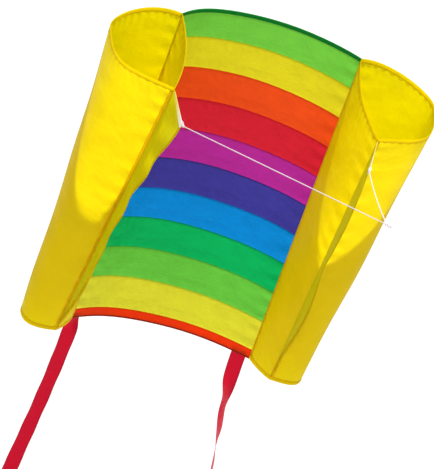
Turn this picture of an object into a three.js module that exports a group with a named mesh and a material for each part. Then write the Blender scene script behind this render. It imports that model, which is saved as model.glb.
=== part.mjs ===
// A frameless sled kite: a striped sail between two tapered air cells, a keel on each
// cell, a two-legged bridle that meets in a tow loop, and two ribbon tails.
//
// Millimetres. X runs across the span, +Z up the chord to the leading edge, and the
// flyer is in front, at -Y. The kite is drawn with the middle of the leading edge's
// chord line at (0, 0, 0) and then moved so that the tow point is the origin.

import * as THREE from "three";

// ---------------------------------------------------------------- driving dimensions

const CLOTH = 1.6; // a panel, with its folds and seam allowances
const DOUBLED_CLOTH = 2.4; // a hem or a reinforced corner
const GAP = 0.4; // between pieces that are sewn edge to edge
const SEAM_INSET = 2.2; // from a seam line to the cloth that is sewn into it

const SAIL = {
  width: 312, // straight across, from seam to seam
  chord: 553, // leading edge to trailing edge
  frontBelly: 83, // how far the wind pushes the leading edge back
  rearBelly: 55, // and the trailing edge
  leadingHem: 5,
  trailingHem: 16,
  seamRise: 6, // how much higher each seam between stripes is at its left end
};

// The stripes from the leading edge down: name and colour.
const STRIPES = [
  ["light_green", 0x66c034],
  ["lemon", 0xe0d116],
  ["orange", 0xe84b18],
  ["red", 0xd02230],
  ["magenta", 0xb22a95],
  ["indigo", 0x403b96],
  ["blue", 0x0089d4],
  ["emerald", 0x00b054],
  ["lime", 0x70c840],
  ["yellow", 0xe6da30],
];

// The two ends of an air cell, each a closed outline in the plane of the rim.
// A point is [out from the sail's seam, forward towards the flyer]; the skin leaves
// the seam, bellies out to its widest point and comes round to the keel's seam, and
// the inner panel goes straight back with a bulge towards the sail.
const MOUTH = cellRim({
  top: 0,
  slant: 0.49, // how far the rim drops for each millimetre forward
  seamHandle: [55, -13],
  widest: [124, 58],
  backHandle: 37,
  frontHandle: 133,
  keelHandle: [100, 130],
  keel: [19, 149],
  bulge: 13,
});
const REAR = cellRim({
  top: -SAIL.chord,
  slant: 0.33,
  seamHandle: [22, -12],
  widest: [91, 13],
  backHandle: -16,
  frontHandle: 44,
  keelHandle: [64, 43],
  keel: [32, 38],
  bulge: 3,
});
const CELL_HEM = 8;

// The keel's corner, from the middle of the leading edge's chord line.
const KEEL_TIP = { out: SAIL.width / 2 + 3, forward: 205, drop: 111 };
const PATCH_WIDTH = 11; // across the keel's leading edge, at the corner

const LINE_DIAMETER = 1.5;
const LINE_SIDES = 8;
const KNOT = { radius: 2.2, length: 6 };
const TOW_KNOT = new THREE.Vector3(0, -762, 18);
const TOW_LOOP_LENGTH = 21.5; // from the knot's centre to the far end of the loop
const RIGHT_LEG_BOW = 3; // the right leg is the slacker one and bows inwards

const TAIL = {
  width: 26,
  length: 700,
  thickness: 1,
  behindSail: 2,
  below: 1.2, // clearance under the trailing hem, so that the tail can swing
};
const TAILS = {
  left: { inset: 5, drift: -24, driftLength: 480 },
  right: { inset: 15, drift: 54, driftLength: 420 },
};

const YELLOW = 0xf2cf00;
const HEM_YELLOW = 0xd8b800;
const LINE_WHITE = 0xf4f2ee;

// ------------------------------------------------------------------------- materials

function cloth(colour, roughness = 0.55) {
  return new THREE.MeshStandardMaterial({ color: colour, roughness, metalness: 0 });
}

function piece(name, geometry, material) {
  const mesh = new THREE.Mesh(geometry, material);
  mesh.name = name;
  return mesh;
}

// ------------------------------------------------------------------ closed thin slabs

// A closed slab of cloth. surface(u, v) is its middle, for u and v from 0 to 1; a
// looped slab joins u = 1 to u = 0.
function slab(surface, columns, rows, thickness, looped = false) {
  const lines = looped ? columns : columns + 1;
  const grid = [];
  for (let i = 0; i < lines; i += 1) {
    grid.push([]);
    for (let j = 0; j <= rows; j += 1) {
      grid[i].push(surface(i / columns, j / rows));
    }
  }

  const positions = [];
  for (let i = 0; i < lines; i += 1) {
    for (let j = 0; j <= rows; j += 1) {
      const offset = gridNormal(grid, i, j, looped).multiplyScalar(thickness / 2);
      positions.push(...grid[i][j].clone().add(offset).toArray());
      positions.push(...grid[i][j].clone().sub(offset).toArray());
    }
  }

  const front = (i, j) => 2 * ((i % lines) * (rows + 1) + j);
  const back = (i, j) => front(i, j) + 1;
  const indices = [];
  const quad = (a, b, c, d) => indices.push(a, b, c, a, c, d);
  for (let i = 0; i < columns; i += 1) {
    for (let j = 0; j < rows; j += 1) {
      quad(front(i, j), front(i + 1, j), front(i + 1, j + 1), front(i, j + 1));
      quad(back(i, j), back(i, j + 1), back(i + 1, j + 1), back(i + 1, j));
    }
    quad(front(i, 0), back(i, 0), back(i + 1, 0), front(i + 1, 0));
    quad(front(i + 1, rows), back(i + 1, rows), back(i, rows), front(i, rows));
  }
  if (!looped) {
    for (let j = 0; j < rows; j += 1) {
      quad(front(0, j + 1), back(0, j + 1), back(0, j), front(0, j));
      quad(front(columns, j), back(columns, j), back(columns, j + 1), front(columns, j + 1));
    }
  }

  const geometry = new THREE.BufferGeometry();
  geometry.setAttribute("position", new THREE.Float32BufferAttribute(positions, 3));
  geometry.setIndex(indices);
  geometry.computeVertexNormals();
  return geometry;
}

function gridNormal(grid, i, j, looped) {
  const last = grid.length - 1;
  const before = looped ? (i + last) % grid.length : Math.max(i - 1, 0);
  const after = looped ? (i + 1) % grid.length : Math.min(i + 1, last);
  const along = grid[after][j].clone().sub(grid[before][j]);
  const down = grid[i][Math.min(j + 1, grid[i].length - 1)].clone().sub(grid[i][Math.max(j - 1, 0)]);
  return along.cross(down).normalize();
}

// ------------------------------------------------------------------------------ sail

// The sail is an arc of a circle at every height.
function sailArc(z) {
  const half = SAIL.width / 2;
  const belly = THREE.MathUtils.lerp(SAIL.frontBelly, SAIL.rearBelly, -z / SAIL.chord);
  const radius = (half * half + belly * belly) / (2 * belly);
  return { belly, radius, halfAngle: Math.asin(half / radius) };
}

// A point of the sail, at an angle along its arc.
function sailPoint(angle, z) {
  const { belly, radius } = sailArc(z);
  return new THREE.Vector3(
    radius * Math.sin(angle),
    radius * Math.cos(angle) - radius + belly,
    z,
  );
}

// The height of a band's edge, for u from 0 at the left to 1. The hems' edges are level.
function edgeHeight(z, u) {
  const sloping = z < -SAIL.leadingHem && z > -(SAIL.chord - SAIL.trailingHem);
  return sloping ? z + SAIL.seamRise * (1 - u) : z;
}

// A band of the sail from one height to another, with half a gap at each.
function sailBand(top, bottom, thickness) {
  const surface = (u, v) => {
    const from = edgeHeight(top, u) - GAP / 2;
    const z = THREE.MathUtils.lerp(from, edgeHeight(bottom, u) + GAP / 2, v);
    const { radius, halfAngle } = sailArc(z);
    const edge = halfAngle - SEAM_INSET / radius;
    return sailPoint(THREE.MathUtils.lerp(-edge, edge, u), z);
  };
  return slab(surface, 20, 1, thickness);
}

function sail() {
  const hemTop = -(SAIL.chord - SAIL.trailingHem);
  const pitch = -hemTop / STRIPES.length;
  const pieces = [
    piece("sail_leading_hem", sailBand(0, -SAIL.leadingHem, DOUBLED_CLOTH), cloth(0x1f8f1c)),
    piece("sail_trailing_hem", sailBand(hemTop, -SAIL.chord, DOUBLED_CLOTH), cloth(0xe24d1a)),
  ];
  STRIPES.forEach(([name, colour], index) => {
    const top = index === 0 ? -SAIL.leadingHem : -index * pitch;
    const band = sailBand(top, -(index + 1) * pitch, CLOTH);
    const number = String(index + 1).padStart(2, "0");
    pieces.push(piece(`sail_stripe_${number}_${name}`, band, cloth(colour)));
  });
  return pieces;
}

// ------------------------------------------------------------------------- air cells

// An end of a cell: its outline as a skin curve and an inner curve, seam to keel.
function cellRim({ top, slant, seamHandle, widest, backHandle, frontHandle, keelHandle, keel, bulge }) {
  const seam = new THREE.Vector2(0, 0);
  const side = new THREE.Vector2(...widest);
  const corner = new THREE.Vector2(...keel);
  const skin = new THREE.CurvePath();
  skin.add(new THREE.CubicBezierCurve(
    seam,
    new THREE.Vector2(...seamHandle),
    new THREE.Vector2(side.x, backHandle),
    side,
  ));
  skin.add(new THREE.CubicBezierCurve(
    side,
    new THREE.Vector2(side.x, frontHandle),
    new THREE.Vector2(...keelHandle),
    corner,
  ));
  const towardsSail = new THREE.Vector2(-corner.y, corner.x).normalize();
  const middle = corner.clone().multiplyScalar(0.5).addScaledVector(towardsSail, 2 * bulge);
  const inner = new THREE.QuadraticBezierCurve(seam, middle, corner);
  return { top, slant, skin, inner };
}

// A point of the rim in space. side is -1 for the left cell and 1 for the right one.
function rimPoint(rim, curve, side, u) {
  const flat = rim[curve].getPoint(u);
  return new THREE.Vector3(
    side * (SAIL.width / 2 + flat.x),
    -flat.y,
    rim.top - rim.slant * flat.y,
  );
}

// A point of the cell: v is 0 at the mouth and 1 at the rear end.
function cellPoint(curve, side, u, v) {
  return rimPoint(MOUTH, curve, side, u).lerp(rimPoint(REAR, curve, side, u), v);
}

// One panel of a cell, between its hems and clear of the seams at its two sides.
function cellPanel(curve, side, columns) {
  const inset = SEAM_INSET / REAR[curve].getLength();
  const hem = (CELL_HEM + GAP) / SAIL.chord;
  const surface = (u, v) => cellPoint(
    curve,
    side,
    THREE.MathUtils.lerp(inset, 1 - inset, u),
    THREE.MathUtils.lerp(hem, 1 - hem, v),
  );
  return slab(surface, columns, 4, CLOTH);
}

// The hem round one end of a cell: out along the skin and back along the inner panel.
function cellHem(side, from, to) {
  const skinShare = 0.75;
  const surface = (u, v) => {
    const along = THREE.MathUtils.lerp(from, to, v);
    return u < skinShare
      ? cellPoint("skin", side, u / skinShare, along)
      : cellPoint("inner", side, (1 - u) / (1 - skinShare), along);
  };
  return slab(surface, 40, 1, DOUBLED_CLOTH, true);
}

function airCell(name, side) {
  const hem = CELL_HEM / SAIL.chord;
  return [
    piece(`${name}_cell_outer_panel`, cellPanel("skin", side, 30), cloth(YELLOW)),
    piece(`${name}_cell_inner_panel`, cellPanel("inner", side, 10), cloth(YELLOW)),
    piece(`${name}_cell_mouth_hem`, cellHem(side, 0, hem), cloth(HEM_YELLOW)),
    piece(`${name}_cell_rear_hem`, cellHem(side, 1 - hem, 1), cloth(HEM_YELLOW)),
  ];
}

// ----------------------------------------------------------------------------- keels

function keelTip(side) {
  return new THREE.Vector3(side * KEEL_TIP.out, -KEEL_TIP.forward, -KEEL_TIP.drop);
}

// A triangle of cloth sewn into the cell's keel seam, with a folded patch along its
// leading edge that widens to the corner where the bridle is tied, and ends there square.
function keel(name, side) {
  const frontSeam = cellPoint("skin", side, 1, 0);
  const rearSeam = cellPoint("skin", side, 1, 1);
  const tip = keelTip(side);
  const leadingEdge = tip.clone().sub(frontSeam).normalize();
  const inwards = rearSeam.clone().sub(tip);
  inwards.addScaledVector(leadingEdge, -inwards.dot(leadingEdge)).normalize();
  const patchFoot = tip.clone().addScaledVector(inwards, PATCH_WIDTH);

  const fin = (u, v) => {
    const seam = frontSeam.clone().lerp(rearSeam, v * 0.95);
    const free = patchFoot.clone().lerp(rearSeam, v * 0.95);
    const inset = SEAM_INSET / seam.distanceTo(free);
    return seam.lerp(free, THREE.MathUtils.lerp(inset, 1, u));
  };
  const patch = (u, v) => {
    const reach = THREE.MathUtils.lerp(0.15, 1 - 0.7 * KNOT.length / tip.distanceTo(frontSeam), u);
    const leading = frontSeam.clone().lerp(tip, reach);
    const following = frontSeam.clone().lerp(patchFoot, reach);
    const gap = GAP / leading.distanceTo(following);
    return leading.lerp(following, v * (1 - gap));
  };
  return [
    piece(`${name}_keel_fin`, slab(fin, 4, 12, CLOTH), cloth(YELLOW)),
    piece(`${name}_keel_patch`, slab(patch, 6, 1, DOUBLED_CLOTH), cloth(LINE_WHITE)),
  ];
}

// ---------------------------------------------------------------------------- bridle

// A tube of line along a curve.
function line(curve, steps) {
  const section = new THREE.Shape();
  section.absarc(0, 0, LINE_DIAMETER / 2, 0, 2 * Math.PI);
  return new THREE.ExtrudeGeometry(section, {
    steps,
    curveSegments: LINE_SIDES / 2,
    extrudePath: curve,
    bevelEnabled: false,
  });
}

// A knot, drawn up tight, with its length along a direction.
function knot(name, centre, direction) {
  const half = KNOT.length / 2;
  const profile = [
    new THREE.Vector2(0, -half),
    new THREE.Vector2(0.6 * KNOT.radius, -half),
    new THREE.Vector2(KNOT.radius, -half / 2),
    new THREE.Vector2(KNOT.radius, half / 2),
    new THREE.Vector2(0.6 * KNOT.radius, half),
    new THREE.Vector2(0, half),
  ];
  const mesh = piece(name, new THREE.LatheGeometry(profile, 12), cloth(LINE_WHITE, 0.8));
  mesh.position.copy(centre);
  mesh.quaternion.setFromUnitVectors(new THREE.Vector3(0, 1, 0), direction);
  return mesh;
}

// One leg, from the knot on its keel to the tow knot.
function bridleLeg(name, side, bow) {
  const tip = keelTip(side);
  const direction = TOW_KNOT.clone().sub(tip).normalize();
  const clear = KNOT.length / 2 + GAP;
  const start = tip.clone().addScaledVector(direction, clear);
  const end = TOW_KNOT.clone().addScaledVector(direction, -clear - GAP);
  const middle = start.clone().lerp(end, 0.5);
  middle.x -= side * bow;
  const route = new THREE.CatmullRomCurve3([start, middle, end]);
  return [
    piece(`${name}_bridle_leg`, line(route, 24), cloth(LINE_WHITE, 0.8)),
    knot(`${name}_bridle_knot`, tip, direction),
  ];
}

// The direction in which the flying line pulls: from between the keels to the knot.
function pullDirection() {
  return new THREE.Vector3(0, KEEL_TIP.forward, KEEL_TIP.drop).add(TOW_KNOT).normalize();
}

// The loop that the flying line is hitched to, as a teardrop beyond the tow knot.
function towLoop() {
  const pull = pullDirection();
  const outline = [
    [1.0, 3.6],
    [1.3, 6],
    [4.5, 14],
    [3.3, TOW_LOOP_LENGTH - 2],
    [0, TOW_LOOP_LENGTH],
  ];
  const across = (sign) => ([out, ahead]) => TOW_KNOT.clone()
    .addScaledVector(pull, ahead)
    .add(new THREE.Vector3(sign * out, 0, 0));
  const there = outline.map(across(1));
  const back = outline.slice(0, -1).reverse().map(across(-1));
  const route = new THREE.CatmullRomCurve3([...there, ...back]);
  return piece("tow_loop", line(route, 24), cloth(LINE_WHITE, 0.8));
}

// ----------------------------------------------------------------------------- tails

// How far a tail has turned about its own length, in degrees, at a distance down it.
// It leaves the hem at the slope that the sail has there.
const TAIL_TWIST = {
  left: (down, slope) => slope * (1 - THREE.MathUtils.smoothstep(down, 0, 25))
    + 10 * Math.sin((Math.PI * down) / 290),
  right: (down, slope) => slope - 50 * THREE.MathUtils.smoothstep(down, 30, 95)
    - 28 * THREE.MathUtils.smoothstep(down, 130, 190)
    - 80 * THREE.MathUtils.smoothstep(down, 230, 420),
};

// A ribbon that hangs from the trailing edge, drifts to one side and back, and twists.
function tail(name, side) {
  const { inset, drift, driftLength } = TAILS[name];
  const angle = Math.asin(side * (SAIL.width / 2 - inset) / sailArc(-SAIL.chord).radius);
  const root = sailPoint(angle, -SAIL.chord - TAIL.below);
  const surface = (u, v) => {
    const down = v * TAIL.length;
    const sway = drift * (1 - Math.cos((Math.PI * down) / driftLength)) / 2;
    const turn = TAIL_TWIST[name](down, -THREE.MathUtils.radToDeg(angle));
    const twist = THREE.MathUtils.degToRad(turn);
    const out = (u - 0.5) * TAIL.width;
    return new THREE.Vector3(
      root.x + sway + out * Math.cos(twist),
      root.y + TAIL.behindSail + out * Math.sin(twist),
      root.z - down,
    );
  };
  return piece(`${name}_tail`, slab(surface, 2, 44, TAIL.thickness), cloth(0xcc0a2c));
}

// -------------------------------------------------------------------------- assembly

const kite = new THREE.Group();
kite.add(...sail());
for (const [name, side, bow] of [["left", -1, 0], ["right", 1, RIGHT_LEG_BOW]]) {
  kite.add(...airCell(name, side));
  kite.add(...keel(name, side));
  kite.add(...bridleLeg(name, side, bow));
  kite.add(tail(name, side));
}
kite.add(knot("tow_knot", TOW_KNOT, pullDirection()));
kite.add(towLoop());

const towPoint = TOW_KNOT.clone().addScaledVector(pullDirection(), TOW_LOOP_LENGTH);
kite.position.copy(towPoint).negate();

const model = new THREE.Group();
model.add(kite);
export default model;
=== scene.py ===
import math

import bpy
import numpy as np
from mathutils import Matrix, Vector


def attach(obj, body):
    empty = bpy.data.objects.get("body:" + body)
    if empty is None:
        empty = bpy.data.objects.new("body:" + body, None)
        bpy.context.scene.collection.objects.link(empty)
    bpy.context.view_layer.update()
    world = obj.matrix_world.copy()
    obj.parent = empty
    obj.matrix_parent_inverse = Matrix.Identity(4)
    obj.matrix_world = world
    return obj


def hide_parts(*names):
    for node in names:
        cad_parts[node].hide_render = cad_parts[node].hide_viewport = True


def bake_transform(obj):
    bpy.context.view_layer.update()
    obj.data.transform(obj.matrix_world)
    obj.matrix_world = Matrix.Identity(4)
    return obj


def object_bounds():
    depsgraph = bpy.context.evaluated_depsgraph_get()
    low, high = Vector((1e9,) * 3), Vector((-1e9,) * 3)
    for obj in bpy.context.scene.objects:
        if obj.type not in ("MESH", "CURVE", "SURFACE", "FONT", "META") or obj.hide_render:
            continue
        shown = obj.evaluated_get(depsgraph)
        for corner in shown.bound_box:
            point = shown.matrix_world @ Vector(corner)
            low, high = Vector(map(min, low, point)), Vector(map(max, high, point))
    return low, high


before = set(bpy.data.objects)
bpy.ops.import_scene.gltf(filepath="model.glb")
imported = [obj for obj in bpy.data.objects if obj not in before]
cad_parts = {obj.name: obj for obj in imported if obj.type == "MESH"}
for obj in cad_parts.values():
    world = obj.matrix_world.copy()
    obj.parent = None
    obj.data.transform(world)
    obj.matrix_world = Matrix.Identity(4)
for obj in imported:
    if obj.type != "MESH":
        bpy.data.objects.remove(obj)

# A frameless sled kite in flight: a striped sail between two tapered air cells, a keel on
# each cell, a two-legged bridle that meets in a tow loop, and two ribbon tails.
#
# The kite is drawn in millimetres with the middle of the leading edge's chord line at the
# origin, as in the CAD source, and place() moves it to the row frame in metres.

CAD_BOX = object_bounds()

# --------------------------------------------------------------- dimensions, as in the CAD

SAIL_WIDTH = 312
CHORD = 553
FRONT_BELLY = 83
REAR_BELLY = 55
LEADING_HEM = 5
TRAILING_HEM = 16
CELL_HEM = 8

STRIPES = ["light_green", "lemon", "orange", "red", "magenta",
           "indigo", "blue", "emerald", "lime", "yellow"]
STRIPE_PITCH = (CHORD - TRAILING_HEM) / len(STRIPES)

KEEL_TIP = np.array([SAIL_WIDTH / 2 + 3, -205, -111])
PATCH_WIDTH = 11
SEAM_RISE = 6            # how much higher each seam between stripes is at its left end

LINE_DIAMETER = 1.5
KNOT_LENGTH = 6
TOW_KNOT = np.array([0, -762, 18])
TOW_LOOP_LENGTH = 21.5
LEG_BOW = {"left": 0, "right": 3}

TAIL_WIDTH = 26
TAIL_LENGTH = 700
TAIL_SEWN = 11          # how far it reaches up behind the trailing hem
TAIL_BEHIND = 2
TAIL_BELOW = 1.2
TAILS = {
    "left": {"inset": 5, "drift": -24, "drift_length": 480},
    "right": {"inset": 15, "drift": 54, "drift_length": 420},
}

SIDES = {"left": -1, "right": 1}

PULL = TOW_KNOT - KEEL_TIP * [0, 1, 1]
PULL = PULL / np.linalg.norm(PULL)
TOW_POINT = TOW_KNOT + PULL * TOW_LOOP_LENGTH


def place(points):
    """Points of the kite, in millimetres, as points of the row frame in metres."""
    return (np.asarray(points, float) - TOW_POINT) / 1000


def mix(a, b, t):
    return a + (b - a) * t


def smoothstep(x, low, high):
    t = np.clip((x - low) / (high - low), 0, 1)
    return t * t * (3 - 2 * t)


# ------------------------------------------------------------------------------ the camera

CAMERA_AZIMUTH = math.radians(-19.515)
CAMERA_ELEVATION = math.radians(20)
CAMERA_ROLL = math.radians(20.351)
CAMERA_DISTANCE = 8000
CAMERA_AIM = (0, -60, -275)
CAMERA_SIDEWAYS = -11.241
CAMERA_UPWARDS = -50.09
CAMERA_LENS = 381.9
CAMERA_SENSOR = 36
CAMERA_SEES = 200        # metres, so that the whole floor is in view


def make_camera():
    a, e, r = CAMERA_AZIMUTH, CAMERA_ELEVATION, CAMERA_ROLL
    back = np.array([math.sin(a) * math.cos(e), -math.cos(a) * math.cos(e), math.sin(e)])
    level = np.array([math.cos(a), math.sin(a), 0])
    upright = np.cross(back, level)
    right = math.cos(r) * level + math.sin(r) * upright
    up = math.cos(r) * upright - math.sin(r) * level
    spot = CAMERA_AIM + CAMERA_SIDEWAYS * right + CAMERA_UPWARDS * up + CAMERA_DISTANCE * back

    camera = bpy.data.objects.new("camera", bpy.data.cameras.new("camera"))
    camera.data.lens = CAMERA_LENS
    camera.data.sensor_width = CAMERA_SENSOR
    camera.data.clip_end = CAMERA_SEES
    turn = Matrix(np.column_stack([right, up, back]).tolist())
    camera.matrix_world = Matrix.Translation(place(spot)) @ turn.to_4x4()
    bpy.context.scene.collection.objects.link(camera)
    bpy.context.scene.camera = camera


make_camera()

# --------------------------------------------------------------------------------- meshes


def make_object(name, vertices, faces, material, uvs=None):
    """A smooth mesh in the row frame. uvs has one pair for each vertex, in millimetres."""
    mesh = bpy.data.meshes.new(name)
    mesh.from_pydata(place(vertices).tolist(), [], faces)
    mesh.materials.append(material)
    mesh.polygons.foreach_set("use_smooth", [True] * len(mesh.polygons))
    if uvs is not None:
        layer = mesh.uv_layers.new(name="cloth")
        corners = np.zeros(len(mesh.loops), int)
        mesh.loops.foreach_get("vertex_index", corners)
        layer.data.foreach_set("uv", (np.asarray(uvs)[corners] / 1000).ravel())
    mesh.validate()
    mesh.update()
    made = bpy.data.objects.new(name, mesh)
    bpy.context.scene.collection.objects.link(made)
    return made


def grid_faces(rows, columns):
    """Faces of a grid of rows by columns of points."""
    faces = []
    for i in range(rows - 1):
        for j in range(columns - 1):
            a = i * columns + j
            b = a + columns
            faces.append((a, b, b + 1, a + 1))
    return faces


def normals_of(points, looped=False):
    """The normal at each point of a grid, whose last row joins its first one if it is looped."""
    if looped:
        along = np.roll(points, -1, 0) - np.roll(points, 1, 0)
    else:
        along = np.gradient(points, axis=0)
    normals = np.cross(along, np.gradient(points, axis=1))
    return normals / np.maximum(np.linalg.norm(normals, axis=2, keepdims=True), 1e-9)


def lengths_of(points, axis):
    """How far along a grid each point is, in millimetres, along one of its two directions."""
    steps = np.linalg.norm(np.diff(points, axis=axis), axis=2)
    start = np.zeros_like(np.take(steps, [0], axis=axis))
    return np.concatenate([start, np.cumsum(steps, axis=axis)], axis=axis)


def cloth_sheet(name, points, material):
    """A single layer of cloth through a grid of points."""
    uvs = np.stack([lengths_of(points, 0), lengths_of(points, 1)], axis=2)
    rows, columns = points.shape[:2]
    return make_object(name, points.reshape(-1, 3), grid_faces(rows, columns), material,
                       uvs.reshape(-1, 2))


FOLD_SQUARENESS = 6      # a higher power keeps a band flat for more of its width
FOLD_EDGE = 0.02         # so that a band keeps some thickness at its very edge


def folded_band(name, points, thickness, material, looped=False):
    """A closed band of doubled cloth, with rounded edges, round a grid of points. A looped one
    comes back to its start."""
    normals = normals_of(points, looped)
    columns = points.shape[1]
    bulge = np.sqrt(np.clip(1 - np.linspace(-1, 1, columns) ** FOLD_SQUARENESS, FOLD_EDGE, 1))
    offset = normals * (bulge * thickness / 2)[None, :, None]
    section = np.concatenate([points + offset, (points - offset)[:, ::-1]], axis=1)
    rows, around = section.shape[:2]
    count = rows if looped else rows - 1
    faces = []
    for i in range(count):
        a, b = i * around, (i + 1) % rows * around
        for j in range(around):
            k = (j + 1) % around
            faces.append((a + j, b + j, b + k, a + k))
    if not looped:
        faces.append(tuple(range(around)))
        faces.append(tuple((rows - 1) * around + j for j in reversed(range(around))))
    along = np.repeat(lengths_of(section, 0)[:, :1], around, axis=1)
    uvs = np.stack([along, lengths_of(section, 1)], axis=2)
    return make_object(name, section.reshape(-1, 3), faces, material, uvs.reshape(-1, 2))


def smooth_path(points, step):
    """Points at about that spacing on a smooth curve through the given ones."""
    points = np.asarray(points, float)
    ends = np.vstack([2 * points[0] - points[1], points, 2 * points[-1] - points[-2]])
    path = []
    for a, b, c, d in zip(ends, ends[1:], ends[2:], ends[3:]):
        count = max(2, int(np.linalg.norm(c - b) / step))
        for t in np.arange(count) / count:
            path.append(0.5 * (2 * b + (c - a) * t + (2 * a - 5 * b + 4 * c - d) * t**2
                               + (3 * b - a - 3 * c + d) * t**3))
    return np.array([*path, points[-1]])


BRAID_SIDES = 12
BRAID_PITCH = 3.2
BRAID_RELIEF = 0.07      # of the line's radius


def tube(name, path, radius, material):
    """A closed tube along a path, with the crossing strands of a braid in its surface."""
    tangents = np.gradient(path, axis=0)
    tangents /= np.linalg.norm(tangents, axis=1, keepdims=True)
    side = np.cross(tangents[0], [0.3, 0.2, 0.93])
    angles = 2 * np.pi * np.arange(BRAID_SIDES) / BRAID_SIDES
    travelled = lengths_of(path[:, None, :], 0)[:, 0]
    rings = []
    for centre, tangent, distance in zip(path, tangents, travelled):
        side = side - tangent * (side @ tangent)
        side /= np.linalg.norm(side)
        other = np.cross(tangent, side)
        turn = 2 * np.pi * distance / BRAID_PITCH
        strands = np.cos(3 * angles + turn) * np.cos(3 * angles - turn)
        size = radius * (1 + BRAID_RELIEF * strands)
        ring = np.outer(np.cos(angles) * size, side) + np.outer(np.sin(angles) * size, other)
        rings.append(centre + ring)
    rings = np.array(rings)
    faces = []
    for i in range(len(path) - 1):
        for j in range(BRAID_SIDES):
            k = (j + 1) % BRAID_SIDES
            a, b = i * BRAID_SIDES, (i + 1) * BRAID_SIDES
            faces.append((a + j, a + k, b + k, b + j))
    last = (len(path) - 1) * BRAID_SIDES
    faces.append(tuple(reversed(range(BRAID_SIDES))))
    faces.append(tuple(last + j for j in range(BRAID_SIDES)))
    uvs = np.stack([np.repeat(travelled[:, None], BRAID_SIDES, 1),
                    np.tile(angles * radius, (len(path), 1))], axis=2)
    return make_object(name, rings.reshape(-1, 3), faces, material, uvs.reshape(-1, 2))


STITCH_LENGTH = 2.4
STITCH_GAP = 0.9
STITCH_RADIUS = 0.22
STITCH_RELIEF = 1.6      # how far a stitch stands up, of its radius


def stitching(name, seams, material):
    """Rows of stitches. seams holds (path, normals) pairs, and each stitch is a small spindle."""
    vertices, faces = [], []
    for path, normals in seams:
        travelled = lengths_of(path[:, None, :], 0)[:, 0]
        pitch = STITCH_LENGTH + STITCH_GAP
        for start in np.arange(STITCH_GAP, travelled[-1] - STITCH_LENGTH, pitch):
            spots = [start, start + STITCH_LENGTH / 2, start + STITCH_LENGTH]
            a, middle, b = (np.array([np.interp(s, travelled, path[:, k]) for k in range(3)])
                            for s in spots)
            up = np.array([np.interp(spots[1], travelled, normals[:, k]) for k in range(3)])
            up /= np.linalg.norm(up)
            across = np.cross(b - a, up)
            across *= STITCH_RADIUS / np.linalg.norm(across)
            base = len(vertices)
            ring = [middle + across, middle + STITCH_RELIEF * STITCH_RADIUS * up,
                    middle - across, middle - STITCH_RADIUS * up]
            vertices += [a, *ring, b]
            for j in range(4):
                k = (j + 1) % 4
                faces.append((base, base + 1 + k, base + 1 + j))
                faces.append((base + 5, base + 1 + j, base + 1 + k))
    return make_object(name, vertices, faces, material)


# ------------------------------------------------------------------------------ materials


class Nodes:
    """A material's node tree, with short ways to add and join nodes."""

    def __init__(self, name):
        self.material = bpy.data.materials.new(name)
        self.material.use_nodes = True
        self.tree = self.material.node_tree
        self.tree.nodes.clear()
        self.output = self.add("ShaderNodeOutputMaterial")

    def add(self, kind, **settings):
        node = self.tree.nodes.new(kind)
        for key, value in settings.items():
            setattr(node, key, value)
        return node

    def join(self, start, end):
        self.tree.links.new(start, end)

    def put(self, socket, value):
        """Sets a socket, or joins an output to it."""
        if isinstance(value, bpy.types.NodeSocket):
            self.join(value, socket)
        else:
            socket.default_value = value

    def maths(self, operation, *values):
        node = self.add("ShaderNodeMath", operation=operation)
        for socket, value in zip(node.inputs, values):
            self.put(socket, value)
        return node.outputs[0]

    def cloth_position(self):
        """The place on the cloth, in metres: both of its distances together, then each alone."""
        node = self.add("ShaderNodeUVMap", uv_map="cloth")
        apart = self.add("ShaderNodeSeparateXYZ")
        self.join(node.outputs[0], apart.inputs[0])
        return node.outputs[0], apart.outputs[0], apart.outputs[1]

    def ridge(self, distance, pitch, sharpness):
        """1 along lines that repeat every pitch, falling to 0 between them."""
        turns = self.maths("MULTIPLY", distance, 2 * math.pi / pitch)
        wave = self.maths("MULTIPLY_ADD", self.maths("COSINE", turns), 0.5, 0.5)
        return self.maths("POWER", wave, sharpness)

    def noise(self, where, scale, detail):
        node = self.add("ShaderNodeTexNoise")
        self.join(where, node.inputs["Vector"])
        node.inputs["Scale"].default_value = scale
        node.inputs["Detail"].default_value = detail
        return node.outputs[0]

    def blend(self, factor, first, second):
        node = self.add("ShaderNodeMix", data_type="RGBA")
        self.put(node.inputs["Factor"], factor)
        self.put(node.inputs[6], first)
        self.put(node.inputs[7], second)
        return node.outputs[2]

    def bump(self, height, distance, strength, below=None):
        node = self.add("ShaderNodeBump")
        node.inputs["Strength"].default_value = strength
        node.inputs["Distance"].default_value = distance
        self.join(height, node.inputs["Height"])
        if below is not None:
            self.join(below, node.inputs["Normal"])
        return node.outputs[0]

    def let_through(self, body, light, share):
        """The finished material: a share of the light passes through, and its face takes the rest."""
        both = self.add("ShaderNodeMixShader")
        both.inputs[0].default_value = share
        self.join(body.outputs[0], both.inputs[1])
        self.join(light.outputs[0], both.inputs[2])
        self.join(both.outputs[0], self.output.inputs[0])
        return self.material


def shade(colour, amount):
    """A colour, lighter or darker by a factor, with full alpha."""
    return tuple(channel * amount for channel in colour[:3]) + (1.0,)


# Lengths in materials are in metres.
RIPSTOP_PITCH = 0.005        # between the doubled yarns
RIPSTOP_SHARPNESS = 30
WEAVE_PITCH = 0.0005
CREASE_DEPTH = 0.008
CREASE_STRENGTH = 0.45
PATCH_WEAVE = 0.0009
PATCH_WHITE_FROM = 0.01      # down the patch from its narrow end
PATCH_WHITE_BY = 0.055
PATCH_THROUGH = 0.4          # the share of light that passes
RIBBON_THROUGH = 0.25
RIBBON_RIBS = 0.0008
RIBBON_PICKS = 0.0006
RIBBON_EDGE_SHARPNESS = 14


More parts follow.
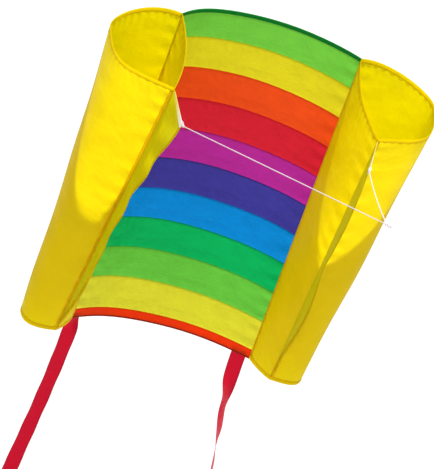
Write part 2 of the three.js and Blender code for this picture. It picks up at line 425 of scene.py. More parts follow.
def ripstop(name, colour, glow=None, through=0.5, layers=1):
    """Thin coated ripstop. glow is its colour with light behind it, through the share of light
    that passes, and layers is more than 1 where it is folded."""
    nodes = Nodes(name)
    where, across, along = nodes.cloth_position()
    yarns = nodes.maths(
        "MAXIMUM",
        nodes.ridge(across, RIPSTOP_PITCH, RIPSTOP_SHARPNESS),
        nodes.ridge(along, RIPSTOP_PITCH, RIPSTOP_SHARPNESS),
    )
    weave = nodes.maths(
        "ADD",
        nodes.ridge(across, WEAVE_PITCH, 1),
        nodes.ridge(along, WEAVE_PITCH, 1),
    )
    clouds = nodes.noise(where, 14, 3)
    creases = nodes.noise(where, 22, 3)

    cloudy = nodes.blend(clouds, shade(colour, 0.9), shade(colour, 1.08))
    reflected = nodes.blend(nodes.maths("MULTIPLY", yarns, 0.14), cloudy, shade(colour, 0.78))
    glow = glow or colour
    bright = nodes.blend(clouds, shade(glow, 0.86), shade(glow, 1.1))
    passed = nodes.blend(nodes.maths("MULTIPLY", yarns, 0.16), bright, shade(glow, 0.7))

    crumpled = nodes.bump(creases, CREASE_DEPTH, CREASE_STRENGTH)
    threads = nodes.bump(yarns, 0.00012, 0.5, crumpled)
    surface = nodes.bump(weave, 0.00004, 0.4, threads)

    body = nodes.add("ShaderNodeBsdfPrincipled")
    body.inputs["Roughness"].default_value = 0.42
    body.inputs["Specular IOR Level"].default_value = 0.1
    body.inputs["Sheen Weight"].default_value = 0.01
    nodes.join(reflected, body.inputs["Base Color"])
    nodes.join(surface, body.inputs["Normal"])
    light = nodes.add("ShaderNodeBsdfTranslucent")
    nodes.join(passed, light.inputs["Color"])
    nodes.join(surface, light.inputs["Normal"])
    return nodes.let_through(body, light, through / layers)


def thread_material(name, colour):
    """Sewing thread or braided line, with a fine, uneven grain."""
    nodes = Nodes(name)
    where = nodes.add("ShaderNodeTexCoord").outputs["Object"]
    grain = nodes.noise(where, 900, 2)
    tint = nodes.blend(grain, shade(colour, 0.8), shade(colour, 1.05))
    body = nodes.add("ShaderNodeBsdfPrincipled")
    body.inputs["Roughness"].default_value = 0.6
    body.inputs["Sheen Weight"].default_value = 0.2
    nodes.join(tint, body.inputs["Base Color"])
    nodes.join(nodes.bump(grain, 0.0001, 0.4), body.inputs["Normal"])
    nodes.join(body.outputs[0], nodes.output.inputs[0])
    return nodes.material


def ribbon_material(name, colour, glow):
    """Satin ribbon: fine lengthwise lines and darker, hot-cut edges."""
    nodes = Nodes(name)
    where, across, along = nodes.cloth_position()
    ribs = nodes.ridge(across, RIBBON_RIBS, 1)
    picks = nodes.ridge(along, RIBBON_PICKS, 1)
    clouds = nodes.noise(where, 25, 3)
    half_width = TAIL_WIDTH / 2000
    from_middle = nodes.maths("SUBTRACT", across, half_width)
    share = nodes.maths("DIVIDE", from_middle, half_width)
    edge = nodes.maths("POWER", nodes.maths("ABSOLUTE", share), RIBBON_EDGE_SHARPNESS)
    cloudy = nodes.blend(clouds, shade(colour, 0.86), shade(colour, 1.1))
    tint = nodes.blend(edge, cloudy, shade(colour, 0.5))
    bright = nodes.blend(edge, shade(glow, 1.0), shade(glow, 0.4))
    surface = nodes.bump(nodes.maths("ADD", ribs, picks), 0.00005, 0.5)
    body = nodes.add("ShaderNodeBsdfPrincipled")
    body.inputs["Roughness"].default_value = 0.4
    body.inputs["Specular IOR Level"].default_value = 0.12
    nodes.join(tint, body.inputs["Base Color"])
    nodes.join(surface, body.inputs["Normal"])
    light = nodes.add("ShaderNodeBsdfTranslucent")
    nodes.join(bright, light.inputs["Color"])
    return nodes.let_through(body, light, RIBBON_THROUGH)


def patch_material(name):
    """Heavy white cloth folded over the keel's edge, with the yellow showing through its top."""
    nodes = Nodes(name)
    _, along, across = nodes.cloth_position()
    threads = nodes.maths(
        "ADD",
        nodes.ridge(along, PATCH_WEAVE, 1),
        nodes.ridge(across, PATCH_WEAVE, 1),
    )
    fade = nodes.add("ShaderNodeMapRange", interpolation_type="SMOOTHSTEP")
    nodes.join(along, fade.inputs["Value"])
    fade.inputs["From Min"].default_value = PATCH_WHITE_FROM
    fade.inputs["From Max"].default_value = PATCH_WHITE_BY
    tint = nodes.blend(fade.outputs[0], (0.93, 0.85, 0.2, 1), (0.96, 0.96, 0.86, 1))
    body = nodes.add("ShaderNodeBsdfPrincipled")
    body.inputs["Roughness"].default_value = 0.65
    body.inputs["Specular IOR Level"].default_value = 0.2
    nodes.join(tint, body.inputs["Base Color"])
    nodes.join(nodes.bump(threads, 0.0001, 0.6), body.inputs["Normal"])
    light = nodes.add("ShaderNodeBsdfTranslucent")
    nodes.join(tint, light.inputs["Color"])
    return nodes.let_through(body, light, PATCH_THROUGH)


STRIPE_COLOURS = {
    "light_green": (0.18, 0.63, 0.055),
    "lemon": (0.77, 0.68, 0.014),
    "orange": (0.86, 0.076, 0.009),
    "red": (0.67, 0.015, 0.032),
    "magenta": (0.45, 0.021, 0.3),
    "indigo": (0.048, 0.042, 0.32),
    "blue": (0.001, 0.245, 0.68),
    "emerald": (0.001, 0.435, 0.1),
    "lime": (0.135, 0.56, 0.048),
    "yellow": (0.7, 0.67, 0.026),
}
YELLOW = (0.69, 0.56, 0.001)
YELLOW_GLOW = (1.0, 0.83, 0.0)
# The keels are the cells' yellow cloth, darker and passing less light: painted shade for the fins'
# shaded sides.
KEEL_SHADED_YELLOW = (0.6, 0.53, 0.001)
KEEL_SHADED_GLOW = (0.86, 0.79, 0.0)
HEM_YELLOW = (0.72, 0.59, 0.001)
TAIL_THREAD_RED = (0.5, 0.01, 0.02)

CELL_CLOTH = ripstop("cell_yellow_ripstop", YELLOW, YELLOW_GLOW)
KEEL_SHADED_CLOTH = ripstop("keel_painted_shade_yellow_ripstop", KEEL_SHADED_YELLOW, KEEL_SHADED_GLOW, through=0.4)
CELL_HEM_CLOTH = ripstop("cell_hem_ripstop", HEM_YELLOW, (1.0, 0.86, 0.0), through=0.72)
SEAM_CLOTH = ripstop("seam_allowance_ripstop", HEM_YELLOW, (1.0, 0.84, 0.0), through=0.85)
LEADING_CLOTH = ripstop("leading_hem_green_ripstop", (0.006, 0.32, 0.04), layers=1.4)
TRAILING_CLOTH = ripstop("trailing_hem_orange_ripstop", (0.92, 0.12, 0.012), through=0.7)
# The trailing edge's dark red is painted shade for the hem's lower fold; its doubled layers also pass
# less light.
TRAILING_EDGE_SHADE_CLOTH = ripstop("trailing_edge_red_painted_shade_ripstop", (0.4, 0.02, 0.006), layers=2)
PATCH_CLOTH = patch_material("patch_white_cloth")
LINE = thread_material("bridle_line", (0.7, 0.61, 0.63))
YELLOW_THREAD = thread_material("yellow_thread", (0.85, 0.64, 0.01))
RIBBON = ribbon_material("tail_crimson_ribbon", (0.57, 0.001, 0.02), (0.75, 0.002, 0.03))

# --------------------------------------------------------------------------------- shapes


def sail_arc(z):
    """Radius, half angle and belly of the sail at a height."""
    belly = mix(FRONT_BELLY, REAR_BELLY, -z / CHORD)
    half = SAIL_WIDTH / 2
    radius = (half * half + belly * belly) / (2 * belly)
    return radius, np.arcsin(half / radius), belly


def sail_point(share, z):
    """A point of the sail: share is -1 at its left seam and 1 at its right one."""
    radius, half_angle, belly = sail_arc(z)
    angle = share * half_angle
    return np.stack([radius * np.sin(angle), radius * np.cos(angle) - radius + belly,
                     z + 0 * angle], axis=-1)


def bezier(points, t):
    """A quadratic or cubic Bezier curve's points at t."""
    t = np.asarray(t, float)[..., None]
    layers = [np.asarray(p, float) for p in points]
    while len(layers) > 1:
        layers = [mix(a, b, t) for a, b in zip(layers, layers[1:])]
    return layers[0]


class Rim:
    """One end of a cell, as [out from the sail's seam, forward towards the flyer]."""

    def __init__(self, top, slant, seam_handle, widest, back_handle, front_handle,
                 keel_handle, keel, bulge):
        self.top = top
        self.slant = slant
        t = np.linspace(0, 1, 300)
        back = bezier([(0, 0), seam_handle, (widest[0], back_handle), widest], t)
        front = bezier([widest, (widest[0], front_handle), keel_handle, keel], t)
        self.line = np.vstack([back, front[1:]])
        steps = np.linalg.norm(np.diff(self.line, axis=0), axis=1)
        self.length = steps.sum()
        self.shares = np.concatenate([[0], np.cumsum(steps)]) / self.length
        corner = np.array(keel, float)
        towards_sail = np.array([-corner[1], corner[0]]) / np.linalg.norm(corner)
        self.inner_curve = [(0, 0), corner / 2 + 2 * bulge * towards_sail, corner]

    def flat_points(self, curve, u):
        if curve == "inner":
            return bezier(self.inner_curve, u)
        return np.stack([np.interp(u, self.shares, self.line[:, k]) for k in range(2)], axis=-1)

    def points(self, curve, side, u):
        flat = self.flat_points(curve, u)
        out, forward = flat[..., 0], flat[..., 1]
        return np.stack([side * (SAIL_WIDTH / 2 + out), -forward,
                         self.top - self.slant * forward], axis=-1)


MOUTH = Rim(top=0, slant=0.49, seam_handle=(55, -13), widest=(124, 58), back_handle=37,
            front_handle=133, keel_handle=(100, 130), keel=(19, 149), bulge=13)
REAR = Rim(top=-CHORD, slant=0.33, seam_handle=(22, -12), widest=(91, 13), back_handle=-16,
           front_handle=44, keel_handle=(64, 43), keel=(32, 38), bulge=3)


def cell_points(curve, side, u, v):
    """A grid of points of a cell's panel: u goes from the sail's seam to the keel's, and v
    from the mouth to the rear end."""
    front = MOUTH.points(curve, side, u)[:, None, :]
    rear = REAR.points(curve, side, u)[:, None, :]
    return mix(front, rear, np.asarray(v)[None, :, None])


# The puckers beside sewn edges: how deep they are, how far they reach from the edge and how
# far apart they are along it, in millimetres, and the phase that they start at.
STRIPE_PUCKERS = {"depth": 0.5, "reach": 9, "pitch": 17}
SAIL_SIDE_PUCKERS = {"depth": 0.9, "reach": 16, "pitch": 26, "phase": 1.3}
MOUTH_PUCKERS = {"depth": 1.2, "reach": 12, "pitch": 13, "phase": 0.4}
REAR_PUCKERS = {"depth": 0.5, "reach": 9, "pitch": 11, "phase": 2.0}
CELL_SEAM_PUCKERS = {"depth": 1.5, "reach": 15, "pitch": 29, "phase": 0.9}

SEWN_FLAT = 3.5          # how near its stitches a pucker is flat
SAIL_TAUT = 20           # how near an edge the slow relief of the cloth is flat
CELL_SEAM_TAUT = 18
CELL_END_TAUT = 25
SAIL_RELIEF = 1.2
CELL_RELIEF = 1.8


def slack(distance, reach):
    """0 at a sewn edge, where the cloth is drawn flat, rising to 1 away from it."""
    return 1 - np.exp(-distance / reach)


def ripples(distance, along, depth, reach, pitch, phase=0.0):
    """Puckers beside a sewn edge: they fade with distance from it and repeat along it."""
    wander = 0.35 * np.sin(along / (2.7 * pitch) + phase) + 0.2 * np.sin(along / (1.3 * pitch))
    wave = np.sin(2 * np.pi * (along / pitch + wander) + phase)
    return depth * np.exp(-distance / reach) * slack(distance, SEWN_FLAT) * wave


def billows(across, along, first, second, shift):
    """The slow relief of the cloth, from -1 to 1: two waves that cross. Each is given by how
    far it takes to turn by a radian, across the cloth and along it."""
    rising = np.sin(across / first[0] + along / first[1])
    falling = np.sin(across / second[0] - along / second[1] + shift)
    return rising * falling


# ----------------------------------------------------------------------------- the bridle

LEG_GAP = 0.4            # between a leg and the knot on its keel
TOW_KNOT_GAP = 0.8       # between a leg and the tow knot
KNOT_TIGHTNESS = 0.95    # of the line's diameter, once the knot is drawn up
KNOT_END = KNOT_LENGTH / 2 + 0.3
KNOT_TURNS = 3


def bridle_leg(name, side):
    """A leg from the knot on its keel to the tow knot: its tube, its route, and that knot."""
    tip = KEEL_TIP * [side, 1, 1]
    direction = TOW_KNOT - tip
    direction = direction / np.linalg.norm(direction)
    start = tip + direction * (KNOT_LENGTH / 2 + LEG_GAP)
    end = TOW_KNOT - direction * (KNOT_LENGTH / 2 + TOW_KNOT_GAP)
    t = np.linspace(0, 1, int(np.linalg.norm(end - start)))[:, None]
    route = mix(start, end, t)
    route[:, :1] -= side * LEG_BOW[name] * 4 * t * (1 - t)
    leg = tube(f"{name}_bridle_line", route, LINE_DIAMETER / 2, LINE)
    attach(leg, "bridle")
    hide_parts(f"{name}_bridle_leg")
    tie = barrel_knot(f"{name}_bridle_tied_knot", tip, direction)
    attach(tie, "bridle")
    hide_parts(f"{name}_bridle_knot")
    return leg, route, tie


def barrel_knot(name, centre, direction):
    """A barrel knot drawn up tight: turns of line wound side by side round the standing line."""
    across = np.cross(direction, [0, 0, 1])
    across = across / np.linalg.norm(across)
    other = np.cross(direction, across)
    wound = LINE_DIAMETER * KNOT_TIGHTNESS
    t = np.linspace(0, 1, 24 * KNOT_TURNS)
    angle = 2 * np.pi * KNOT_TURNS * t
    forward = (t - 0.5) * wound * KNOT_TURNS
    coil = (centre + np.outer(forward, direction) + wound * np.outer(np.cos(angle), across)
            + wound * np.outer(np.sin(angle), other))
    entry = centre - direction * KNOT_END
    leaving = centre + direction * KNOT_END
    cut_end = coil[-1] + 1.5 * direction + 0.8 * across
    route = np.vstack([leaving, centre + direction * 0.5, entry, coil, cut_end])
    return tube(name, smooth_path(route, 0.5), wound / 2, LINE)


def tow_loop():
    """The loop that the flying line is hitched to, a teardrop beyond the tow knot."""
    outline = [(1.0, 3.6), (1.3, 6), (4.5, 14), (3.3, TOW_LOOP_LENGTH - 2), (0, TOW_LOOP_LENGTH)]
    there = [TOW_KNOT + PULL * ahead + [out, 0, 0] for out, ahead in outline]
    back = [TOW_KNOT + PULL * ahead - [out, 0, 0] for out, ahead in reversed(outline[:-1])]
    route = smooth_path(there + back, 0.8)
    loop = tube("tow_loop_line", route, LINE_DIAMETER / 2, LINE)
    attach(loop, "tow_loop")
    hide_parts("tow_loop")


def bridle():
    """The tow knot, the two legs with their knots, and the tow loop."""
    tied = barrel_knot("tow_tied_knot", TOW_KNOT, PULL)
    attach(tied, "bridle")
    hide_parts("tow_knot")
    for name, side in SIDES.items():
        leg, route, tie = bridle_leg(name, side)
    tow_loop()


bridle()

# ------------------------------------------------------------------------------- the sail

LAP = 1.6                # how far a stripe reaches down behind the next one
LAP_DEPTH = 0.4
LAP_TURN = 3             # the height in which it steps back to do so
STITCH_ROW = -8          # the row of a stripe's grid that its stitches follow
LEADING_HEM_THICKNESS = 1.6
LEADING_HEM_LAP = 2
TRAILING_HEM_THICKNESS = 1.4
SHADE_BAND_THICKNESS = 2.2
SHADE_BAND_ABOVE = 2.4      # how far the band of painted shade along the trailing hem's lower fold reaches up and down
SHADE_BAND_BELOW = 0.6


def edge_height(z, share):
    """The height of a stripe's edge across the sail. The hems' edges are level."""
    sloping = -(CHORD - TRAILING_HEM) < z < -LEADING_HEM
    return z + (SEAM_RISE * (1 - share) / 2 if sloping else 0 * share)


def sail_grid(top, bottom, columns, rows, lap=0):
    """A grid of points of the sail, with the puckers beside its seams and a slow relief."""
    share = np.linspace(-1, 1, columns)[:, None]
    lowest = edge_height(bottom, share) - lap
    z = mix(edge_height(top, share), lowest, np.linspace(0, 1, rows)[None, :])
    radius, half_angle, _ = sail_arc(z)
    points = sail_point(share, z)
    normal = np.stack([np.sin(share * half_angle), np.cos(share * half_angle), 0 * z], axis=-1)
    across = share * half_angle * radius
    to_seam = np.abs((z + STRIPE_PITCH / 2) % STRIPE_PITCH - STRIPE_PITCH / 2)
    to_side = (1 - np.abs(share)) * half_angle * radius
    soft = billows(across, z, (41, 60), (67, 37), 1)
    depth = (ripples(to_seam, across, **STRIPE_PUCKERS)
             + ripples(to_side, z, **SAIL_SIDE_PUCKERS)
             + SAIL_RELIEF * soft * slack(to_side, SAIL_TAUT))
    return points + normal * depth[..., None]


def sail_stripe(index, colour_name):
    """One stripe, and the row of stitches along its lower seam."""
    name = f"sail_stripe_{index + 1:02d}_{colour_name}"
    top = 1 - LEADING_HEM if index == 0 else -index * STRIPE_PITCH
    bottom = -(index + 1) * STRIPE_PITCH
    points = sail_grid(top, bottom, 150, 26, LAP)
    tucked = smoothstep(points[:, -1:, 2] + LAP + 2 - points[:, :, 2], 0, LAP_TURN)
    points[:, :, 1] += LAP_DEPTH * tucked
    cloth = ripstop(f"sail_{colour_name}_ripstop", STRIPE_COLOURS[colour_name])
    stripe = cloth_sheet(name + "_cloth", points, cloth)
    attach(stripe, "kite")
    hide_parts(name)
    seam = points[:, STITCH_ROW] + [0, -LAP_DEPTH, 1]
    toward_flyer = np.tile([0, -1.0, 0], (len(seam), 1))
    thread = thread_material(f"thread_{colour_name}", STRIPE_COLOURS[colour_name])
    sewn = stitching(f"sail_seam_{index + 1:02d}_stitching", [(seam, toward_flyer)], thread)
    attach(sewn, "kite")


def sail_hem(node, top, bottom, thickness, material, lap=0):
    """A hem across the sail, of folded cloth."""
    points = sail_grid(top, bottom, 150, 9, lap)
    hem = folded_band(node + "_cloth", points, thickness, material)
    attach(hem, "kite")
    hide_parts(node)


def sail():
    """The stripes, the two hems, and a dark band along the trailing one's lower fold, whose dark red
    is painted shade.
    """
    for index, colour_name in enumerate(STRIPES):
        sail_stripe(index, colour_name)
    sail_hem("sail_leading_hem", 0, -LEADING_HEM, LEADING_HEM_THICKNESS, LEADING_CLOTH,
             LEADING_HEM_LAP)
    sail_hem("sail_trailing_hem", TRAILING_HEM - CHORD, -CHORD, TRAILING_HEM_THICKNESS,
             TRAILING_CLOTH)
    # A dark band of painted shade along the lower fold of the trailing hem.
    edge_points = sail_grid(-CHORD + SHADE_BAND_ABOVE, -CHORD - SHADE_BAND_BELOW, 150, 5)
    edge = folded_band("sail_trailing_edge_painted_shade_band", edge_points, SHADE_BAND_THICKNESS,
                       TRAILING_EDGE_SHADE_CLOTH)
    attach(edge, "kite")


sail()

# -------------------------------------------------------------------------- the air cells

HEM_OVERLAP = 2          # how far a panel reaches into the hems at its ends
CELL_HEM_THICKNESS = 1.3
HEM_STITCH_COLUMNS = {"mouth": 6, "rear": 2}     # of a hem's nine, counted from the mouth
SEAM_ALLOWANCE = 5
ALLOWANCE_THICKNESS = 0.5
ALLOWANCE_CLEARANCE = 0.5
INNER_PANEL_WIDTHS = (150, 50)                   # about, at the mouth and at the rear


def panel_points(curve, side, columns, rows):
    """A cell's panel between its two hems, puckered beside its seams and hems."""
    u = np.linspace(0, 1, columns)
    reach = (CELL_HEM - HEM_OVERLAP) / CHORD
    v = np.linspace(reach, 1 - reach, rows)
    points = cell_points(curve, side, u, v)
    normal = normals_of(points) * side
    across = lengths_of(points, 0)
    along = lengths_of(points, 1)
    to_seam = np.minimum(across, across[-1:] - across)
    to_mouth = along
    to_rear = along[:, -1:] - along
    soft = (billows(across, along, (33, 90), (52, 61), 2 + side) * slack(to_seam, CELL_SEAM_TAUT)
            * slack(to_mouth, CELL_END_TAUT) * slack(to_rear, CELL_END_TAUT))
    depth = (ripples(to_mouth, across, **MOUTH_PUCKERS)
             + ripples(to_rear, across, **REAR_PUCKERS)
             + ripples(to_seam, along, **CELL_SEAM_PUCKERS)
             + CELL_RELIEF * soft)
    return points + normal * depth[..., None]


def cell_panel(name, side, curve, columns):
    """One panel of a cell. curve is skin for the outer one and inner for the other."""
    node = f"{name}_cell_{'outer' if curve == 'skin' else 'inner'}_panel"
    points = panel_points(curve, side, columns, 120)
    panel = cloth_sheet(node + "_cloth", points, CELL_CLOTH)
    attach(panel, "kite")
    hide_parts(node)


def cell_hem(name, side, end):
    """The hem round one end of a cell, out along the skin and back along the inner panel."""
    reach = CELL_HEM / CHORD
    v = np.linspace(0, reach, 9) if end == "mouth" else np.linspace(1 - reach, 1, 9)
    skin = cell_points("skin", side, np.linspace(0, 1, 121), v)
    inner = cell_points("inner", side, np.linspace(1, 0, 41), v)
    points = np.vstack([skin, inner[1:-1]])
    node = f"{name}_cell_{end}_hem"
    hem = folded_band(node + "_cloth", points, CELL_HEM_THICKNESS, CELL_HEM_CLOTH, looped=True)
    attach(hem, "kite")
    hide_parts(node)
    line = points[:, HEM_STITCH_COLUMNS[end]]
    normals = normals_of(points, looped=True)[:, 4]     # along the middle of the hem
    rows = []
    for facing in (1, -1):
        rows.append((line + facing * CELL_HEM_THICKNESS / 2 * normals, facing * normals))
    sewn = stitching(node + "_stitching", rows, YELLOW_THREAD)
    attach(sewn, "kite")


def seam_allowance(name, side, curve, at_keel):
    """The turned edge of cloth beside a long seam, sewn down to the outside of the panel."""
    widths = (MOUTH.length, REAR.length) if curve == "skin" else INNER_PANEL_WIDTHS
    rows = []
    for v in np.linspace(CELL_HEM / CHORD, 1 - CELL_HEM / CHORD, 120):
        reach = SEAM_ALLOWANCE / mix(*widths, v)
        u = np.linspace(1, 1 - reach, 6) if at_keel else np.linspace(0, reach, 6)
        rows.append(cell_points(curve, side, u, [v])[:, 0])
    points = np.array(rows)
    normals = normals_of(points)
    # The skin's outside looks away from the middle of the kite, and the inner panel's towards it.
    away = np.sign(side * normals[60, 3, 0])
    facing = away if curve == "skin" else -away
    points = points + normals * facing * ALLOWANCE_CLEARANCE
    label = f"{name}_{'keel' if at_keel else 'sail'}_seam_allowance"
    band = folded_band(label, points, ALLOWANCE_THICKNESS, SEAM_CLOTH)
    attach(band, "kite")
    lines = []
    for k in (1, 4):
        outside = normals[:, k] * facing
        lines.append((points[:, k] + outside * ALLOWANCE_THICKNESS / 2, outside))
    sewn = stitching(label + "_stitching", lines, YELLOW_THREAD)
    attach(sewn, "kite")


def air_cell(name, side):
    """A cell's two panels, its hems, and the turned edges beside its long seams."""
    cell_panel(name, side, "skin", 120)
    cell_panel(name, side, "inner", 50)
    cell_hem(name, side, "mouth")
    cell_hem(name, side, "rear")
    seam_allowance(name, side, "skin", at_keel=True)
    seam_allowance(name, side, "inner", at_keel=False)


for side_name, side_sign in SIDES.items():
    air_cell(side_name, side_sign)

# -------------------------------------------------------------------------------- the keels

FIN_REACH = 0.985        # how far down its seam the fin goes
FIN_FLUTTER = 1.6
FIN_HEM = 5
FIN_HEM_THICKNESS = 1.1
PATCH_NARROW = 4         # the patch's width at the seam
PATCH_THICKNESS = 1.4
CORNER_LOOP = [(1, 0.6), (4, 1.7), (8, 1.7), (10.5, 0), (8, -1.7), (4, -1.7), (1, -0.6)]


# Each wave says how far, in millimetres along X, the free edge of a keel stands away from the
# straight line between the patch and the rear end of the seam, at shares of the way down it.


def left_edge_wave(t):
    belly = -8.5 * np.sin(np.pi * np.minimum(t / 0.66, 1))
    flick = 6 * np.sin(np.pi * np.clip((t - 0.66) / 0.34, 0, 1))
    crinkle = 2.4 * np.sin(2 * np.pi * (t - 0.1) / 0.19) * np.exp(-((t - 0.3) / 0.3) ** 2)
    return belly + flick - crinkle


def right_edge_wave(t):
    upper = 6 * np.sin(np.pi * np.clip(t / 0.5, 0, 1))
    lower = 13 * np.sin(np.pi * np.clip((t - 0.45) / 0.5, 0, 1))
    return upper + lower


KEEL_EDGE_WAVES = {"left": left_edge_wave, "right": right_edge_wave}


def keel_fin(name, front, rear, foot):
    """The fin, between its seam and its free edge: its grid of points and its depths."""
    v = np.linspace(0, 1, 160)
    u = np.linspace(0, 1, 26)
    seam = mix(front, rear, v[:, None] * FIN_REACH)
    free = mix(foot, rear, v[:, None] * FIN_REACH)
    points = mix(seam[:, None, :], free[:, None, :], u[None, :, None])
    depth = np.linalg.norm(free - seam, axis=1)[:, None]
    sway = KEEL_EDGE_WAVES[name](v)[:, None] * u[None, :] ** 1.4
    flutter = np.sin(2 * np.pi * (v[:, None] * 7.3 + u[None, :] * 0.6)) * np.sin(np.pi * u) ** 0.7
    points[:, :, 0] += sway + FIN_FLUTTER * flutter * np.minimum(depth / 60, 1)
    # The fin's cloth carries painted shade: it is darker than the cells' yellow.
    fin = cloth_sheet(f"{name}_keel_fin_cloth", points, KEEL_SHADED_CLOTH)
    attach(fin, "kite")
    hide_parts(f"{name}_keel_fin")
    return points, depth


def keel_edge_hem(name, fin_points, depth):
    """The hem along the fin's free edge, narrower where the fin comes to its point."""
    free_edge = fin_points[:, -1:]
    inwards = fin_points[:, -5:-4] - free_edge
    inwards = inwards / np.linalg.norm(inwards, axis=2, keepdims=True)
    width = np.minimum(FIN_HEM, 0.9 * depth)[:, :, None]
    edge = free_edge + inwards * width * np.linspace(0, 1, 5)[None, :, None]
    hem = folded_band(f"{name}_keel_edge_hem", edge, FIN_HEM_THICKNESS, CELL_HEM_CLOTH)
    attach(hem, "kite")


def keel_patch(name, front, tip, inwards):
    """White cloth folded over the fin's leading edge, down to the knot at its corner."""
    knot_share = 0.5 * KNOT_LENGTH / np.linalg.norm(front - tip)
    reach = np.linspace(0.1, 1 - knot_share, 40)[:, None]
    leading = mix(front, tip, reach)
    following = leading + inwards * mix(PATCH_NARROW, PATCH_WIDTH + 1, reach)
    shares = np.linspace(0, 1, 9)[None, :, None]
    points = mix(leading[:, None, :], following[:, None, :], shares)
    patch = folded_band(f"{name}_keel_patch_cloth", points, PATCH_THICKNESS, PATCH_CLOTH)
    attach(patch, "kite")
    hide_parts(f"{name}_keel_patch")


def keel_corner_loop(name, front, foot, tip):
    """The loop of line through the corner, which the bridle is tied to."""
    upwards = mix(front, foot, 0.4) - tip
    upwards = upwards / np.linalg.norm(upwards)
    out = np.array([1.0, 0, 0])
    oval = [tip + upwards * a + out * b for a, b in CORNER_LOOP]
    loop = tube(f"{name}_keel_corner_loop", smooth_path(oval, 0.5), LINE_DIAMETER / 2 * 0.9, LINE)
    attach(loop, "kite")


def keel(name, side):
    """The keel's fin, its hem, the patch at its corner, and the loop of line in the corner."""
    front = cell_points("skin", side, np.array([1.0]), [0])[0, 0]
    rear = cell_points("skin", side, np.array([1.0]), [1])[0, 0]
    tip = KEEL_TIP * [side, 1, 1]
    leading_edge = (tip - front) / np.linalg.norm(tip - front)
    inwards = rear - tip - leading_edge * ((rear - tip) @ leading_edge)
    inwards = inwards / np.linalg.norm(inwards)
    foot = tip + inwards * PATCH_WIDTH
    fin_points, depth = keel_fin(name, front, rear, foot)
    keel_edge_hem(name, fin_points, depth)
    keel_patch(name, front, tip, inwards)
    keel_corner_loop(name, front, foot, tip)


for side_name, side_sign in SIDES.items():
    keel(side_name, side_sign)

# -------------------------------------------------------------------------------- the tails

TAIL_CUP = 1.2
TAIL_CURL = 0.7
TAIL_STITCH_BOX = [(1, 1), (9, 1), (9, 3), (1, 3), (1, 1)]     # across and down its grid


def tail_twist(name, down, slope):
    """How far the ribbon has turned about its length, in degrees, at a distance down it. slope
    is the turn of its sewn end, on the curve of the sail."""
    down = np.maximum(down, 0)
    if name == "left":
        return slope * (1 - smoothstep(down, 0, 25)) + 10 * np.sin(np.pi * down / 290)
    untwisted = slope - 50 * smoothstep(down, 30, 95) - 28 * smoothstep(down, 130, 190)
    return untwisted - 80 * smoothstep(down, 230, 420)


def tail_points(name, root, slope):
    """A grid of points of a ribbon that hangs from its root, drifts and twists."""
    settings = TAILS[name]
    out = np.linspace(-0.5, 0.5, 11)[:, None] * TAIL_WIDTH
    down = np.linspace(-TAIL_SEWN, TAIL_LENGTH, 240)[None, :]
    sway = settings["drift"] * (1 - np.cos(np.pi * np.maximum(down, 0) / settings["drift_length"])) / 2
    twist = np.radians(tail_twist(name, down, slope))
    share = 2 * out / TAIL_WIDTH
    cup = TAIL_CUP * (1 - share ** 2) * smoothstep(down, 10, 80) * np.sin(down / 83)
    curl = TAIL_CURL * share ** 4 * smoothstep(down, 5, 50) * np.sin(down / 9.5 + np.sign(out))
    lift = cup + curl
    return np.stack([
        root[0] + sway + out * np.cos(twist) - lift * np.sin(twist),
        root[1] + TAIL_BEHIND + out * np.sin(twist) + lift * np.cos(twist),
        root[2] - down + 0 * out,
    ], axis=-1)


def tail(name, side):
    """A ribbon sewn behind the trailing hem, with a box of stitches."""
    radius, half_angle, _ = sail_arc(-CHORD)
    angle = math.asin(side * (SAIL_WIDTH / 2 - TAILS[name]["inset"]) / radius)
    root = sail_point(angle / half_angle, np.array(-CHORD - TAIL_BELOW))
    points = tail_points(name, root, -math.degrees(angle))
    ribbon = cloth_sheet(f"{name}_tail_ribbon", points, RIBBON)
    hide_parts(f"{name}_tail")
    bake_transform(ribbon)

    back = np.array([math.sin(angle), math.cos(angle), 0])
    box = np.array([points[k, j] + back * 0.1 for k, j in TAIL_STITCH_BOX])
    thread = thread_material(f"{name}_tail_thread", TAIL_THREAD_RED)
    sewn = stitching(f"{name}_tail_stitching", [(box, np.tile(back, (len(box), 1)))], thread)
    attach(sewn, "kite")


for side_name, side_sign in SIDES.items():
    tail(side_name, side_sign)

# ---------------------------------------------------------------------- floor and lights

FLOOR_BELOW = 0.2        # metres under the lowest tail
FLOOR_RADIUS = 60
FLOOR_SIDES = 96
FLOOR_GREY = (0.46, 0.46, 0.46, 1)
FLOOR_PALE_GREY = (0.49, 0.49, 0.49, 1)

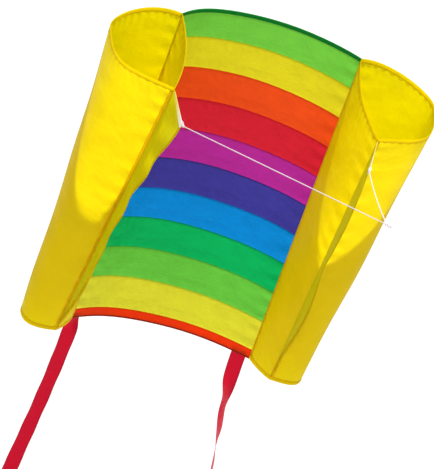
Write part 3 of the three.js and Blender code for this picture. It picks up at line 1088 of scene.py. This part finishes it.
SKY_STRENGTH = 0.46
SUN_STRENGTH = 6.5
SUN_WIDTH = math.radians(1.5)
SUN_AZIMUTH = math.radians(334)
SUN_ELEVATION = math.radians(74.5)


def make_floor():
    low = CAD_BOX[0].z - FLOOR_BELOW
    angles = 2 * np.pi * np.arange(FLOOR_SIDES) / FLOOR_SIDES
    mesh = bpy.data.meshes.new("floor")
    ring = [(FLOOR_RADIUS * math.cos(a), FLOOR_RADIUS * math.sin(a), low) for a in angles]
    mesh.from_pydata(ring, [], [tuple(range(FLOOR_SIDES))])
    nodes = Nodes("floor_paint")
    where = nodes.add("ShaderNodeTexCoord").outputs["Object"]
    tint = nodes.blend(nodes.noise(where, 0.6, 2), FLOOR_GREY, FLOOR_PALE_GREY)
    body = nodes.add("ShaderNodeBsdfPrincipled")
    body.inputs["Roughness"].default_value = 0.9
    nodes.join(tint, body.inputs["Base Color"])
    nodes.join(body.outputs[0], nodes.output.inputs[0])
    mesh.materials.append(nodes.material)
    floor = bpy.data.objects.new("floor", mesh)
    bpy.context.scene.collection.objects.link(floor)


def make_lights():
    world = bpy.data.worlds.new("studio")
    bpy.context.scene.world = world
    world.use_nodes = True
    backdrop = world.node_tree.nodes["Background"]
    backdrop.inputs["Color"].default_value = (1, 1, 1, 1)
    backdrop.inputs["Strength"].default_value = SKY_STRENGTH

    lamp = bpy.data.lights.new("top_light", "SUN")
    lamp.energy = SUN_STRENGTH
    lamp.angle = SUN_WIDTH
    top = bpy.data.objects.new("top_light", lamp)
    travel = np.array([math.sin(SUN_AZIMUTH) * math.cos(SUN_ELEVATION),
                       -math.cos(SUN_AZIMUTH) * math.cos(SUN_ELEVATION),
                       -math.sin(SUN_ELEVATION)])
    across = np.cross([0, 1, 0], -travel)
    across = across / np.linalg.norm(across)
    turn = Matrix(np.column_stack([across, np.cross(-travel, across), -travel]).tolist())
    top.matrix_world = Matrix.Translation((0, 0, 2)) @ turn.to_4x4()
    bpy.context.scene.collection.objects.link(top)


make_floor()
make_lights()
bpy.context.scene.view_settings.view_transform = "Standard"
